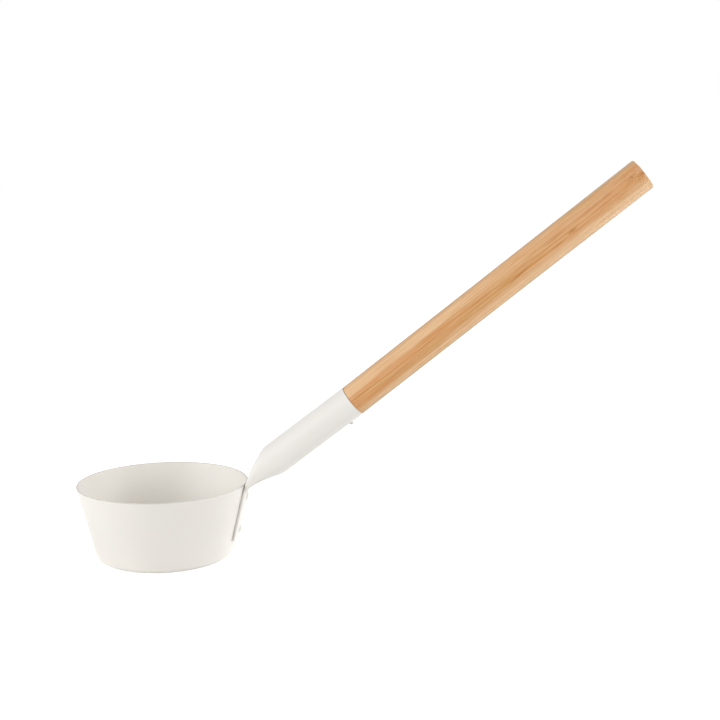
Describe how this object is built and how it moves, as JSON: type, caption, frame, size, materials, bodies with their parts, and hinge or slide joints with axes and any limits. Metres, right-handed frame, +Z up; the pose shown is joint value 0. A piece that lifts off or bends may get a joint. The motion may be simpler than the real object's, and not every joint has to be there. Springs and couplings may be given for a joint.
{
  "type": "sauna ladle",
  "caption": "Sauna ladle: a tapered round coated-metal cup with a long raised handle, a tube pressed flat and riveted to the cup that holds a round bamboo grip.",
  "frame": {"origin": "centre of the cup's flat underside", "axes": "+Z up along the cup's axis, +X from the cup towards the handle's far end, XZ the plane of symmetry"},
  "size_m": [0.3646, 0.11, 0.2496],
  "materials": {
    "cup_coat": "warm white powder coat, satin",
    "socket_coat": "warm white powder coat, satin",
    "rivet_coat": "warm white powder coat over the closed heads",
    "bamboo": "laminated bamboo, sanded and oiled",
    "screw_steel": "plain steel, bright"
  },
  "bodies": {
    "root": {"cup": "cup_coat", "handle_socket": "socket_coat", "rivet_upper": "rivet_coat", "rivet_lower": "rivet_coat", "bamboo_grip": "bamboo", "grip_screw": "screw_steel"}
  },
  "joints": []
}
